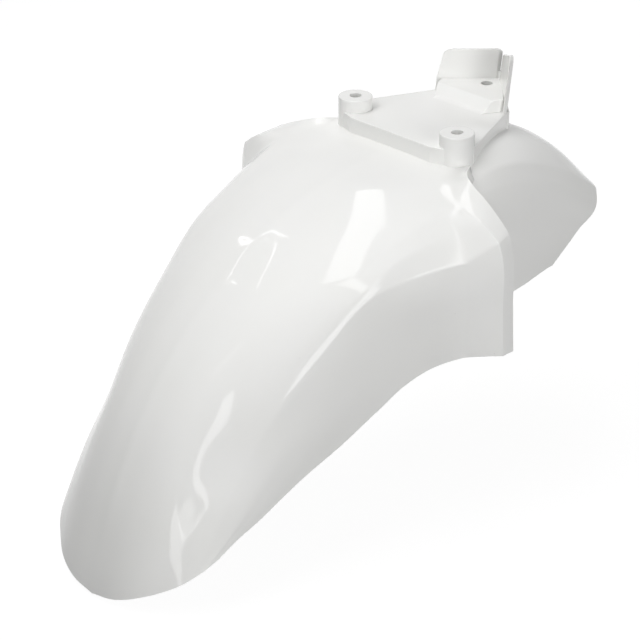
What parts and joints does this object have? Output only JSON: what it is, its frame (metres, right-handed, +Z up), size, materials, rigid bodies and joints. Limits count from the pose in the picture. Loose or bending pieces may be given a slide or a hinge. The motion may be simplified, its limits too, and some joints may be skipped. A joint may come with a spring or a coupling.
{
  "type": "scooter mudguard",
  "caption": "One-piece moulded front mudguard: a wheel arch with a long front tongue, flared side wings, a raised mounting plate with bolt bosses, and slotted fins behind it.",
  "frame": {"origin": "midway between the two front bosses, on their top faces", "axes": "+Z up, square to the boss faces; -Y to the front tip, +Y to the rear fins; +X to the side, across the wheel, with the part symmetric about X = 0"},
  "size_m": [0.2094, 0.3607, 0.2384],
  "materials": {
    "shell": "glossy white moulded plastic"
  },
  "bodies": {
    "root": {"mudguard": "shell"}
  },
  "joints": []
}
